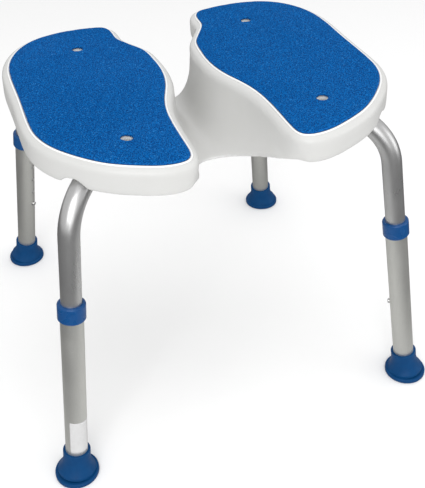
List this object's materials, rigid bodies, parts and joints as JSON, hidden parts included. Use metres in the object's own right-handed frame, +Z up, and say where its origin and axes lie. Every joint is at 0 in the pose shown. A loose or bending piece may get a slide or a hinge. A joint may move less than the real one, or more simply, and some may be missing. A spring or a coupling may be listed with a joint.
{
  "type": "shower chair",
  "caption": "Shower chair with a split, foam-padded moulded seat open at front and back, on splayed telescopic aluminium legs with blue rubber feet.",
  "frame": {"origin": "on the floor, under the middle of the four feet", "axes": "+X to the right lobe (left and right as seen from the front), +Y to the back of the seat, +Z up"},
  "size_m": [0.5492, 0.5352, 0.4459],
  "materials": {
    "seat_plastic": "satin white blow-moulded plastic",
    "pad_foam": "blue closed-cell foam with a fine speckled skin",
    "aluminium": "satin anodised tube",
    "blue_plastic": "glossy blue moulded collar",
    "blue_rubber": "blue moulded rubber foot",
    "black_plastic": "matt black push-in plug",
    "steel": "plated steel",
    "polished_steel": "polished steel button"
  },
  "bodies": {
    "seat": {"seat_shell": "seat_plastic", "pad_left": "pad_foam", "pad_right": "pad_foam", "clamp_screws": "steel", "upper_tube_front_left": "aluminium", "arm_plug_front_left": "black_plastic", "leg_clamp_front_left": "steel", "upper_tube_front_right": "aluminium", "arm_plug_front_right": "black_plastic", "leg_clamp_front_right": "steel", "upper_tube_back_left": "aluminium", "arm_plug_back_left": "black_plastic", "leg_clamp_back_left": "steel", "upper_tube_back_right": "aluminium", "arm_plug_back_right": "black_plastic", "leg_clamp_back_right": "steel"},
    "leg_front_left": {"lower_tube_front_left": "aluminium", "collar_front_left": "blue_plastic", "foot_front_left": "blue_rubber", "foot_washer_front_left": "steel"},
    "button_front_left": {"snap_button_front_left": "polished_steel", "button_spring_front_left": "steel"},
    "leg_front_right": {"lower_tube_front_right": "aluminium", "collar_front_right": "blue_plastic", "foot_front_right": "blue_rubber", "foot_washer_front_right": "steel"},
    "button_front_right": {"snap_button_front_right": "polished_steel", "button_spring_front_right": "steel"},
    "leg_back_left": {"lower_tube_back_left": "aluminium", "collar_back_left": "blue_plastic", "foot_back_left": "blue_rubber", "foot_washer_back_left": "steel"},
    "button_back_left": {"snap_button_back_left": "polished_steel", "button_spring_back_left": "steel"},
    "leg_back_right": {"lower_tube_back_right": "aluminium", "collar_back_right": "blue_plastic", "foot_back_right": "blue_rubber", "foot_washer_back_right": "steel"},
    "button_back_right": {"snap_button_back_right": "polished_steel", "button_spring_back_right": "steel"}
  },
  "joints": [
    {"name": "height_front_left", "type": "slide", "parent": "seat", "child": "leg_front_left", "axis": [-0.1184, -0.1125, -0.9866], "range_m": [0, 0.1016], "deforming": ["snap_button_front_left", "button_spring_front_left"]},
    {"name": "press_front_left", "type": "slide", "parent": "seat", "child": "button_front_left", "axis": [-0.7791, -0.6054, 0.1625], "range_m": [0, 0.0046], "stiffness_N_per_m": 1200, "springref_m": -0.003},
    {"name": "height_front_right", "type": "slide", "parent": "seat", "child": "leg_front_right", "axis": [0.1184, -0.1125, -0.9866], "range_m": [0, 0.1016], "deforming": ["snap_button_front_right", "button_spring_front_right"]},
    {"name": "press_front_right", "type": "slide", "parent": "seat", "child": "button_front_right", "axis": [0.7791, -0.6054, 0.1625], "range_m": [0, 0.0046], "stiffness_N_per_m": 1200, "springref_m": -0.003},
    {"name": "height_back_left", "type": "slide", "parent": "seat", "child": "leg_back_left", "axis": [-0.1112, 0.1416, -0.9837], "range_m": [0, 0.1016], "deforming": ["snap_button_back_left", "button_spring_back_left"]},
    {"name": "press_back_left", "type": "slide", "parent": "seat", "child": "button_back_left", "axis": [-0.6985, 0.6929, 0.1787], "range_m": [0, 0.0046], "stiffness_N_per_m": 1200, "springref_m": -0.003},
    {"name": "height_back_right", "type": "slide", "parent": "seat", "child": "leg_back_right", "axis": [0.1112, 0.1416, -0.9837], "range_m": [0, 0.1016], "deforming": ["snap_button_back_right", "button_spring_back_right"]},
    {"name": "press_back_right", "type": "slide", "parent": "seat", "child": "button_back_right", "axis": [0.6985, 0.6929, 0.1787], "range_m": [0, 0.0046], "stiffness_N_per_m": 1200, "springref_m": -0.003}
  ]
}
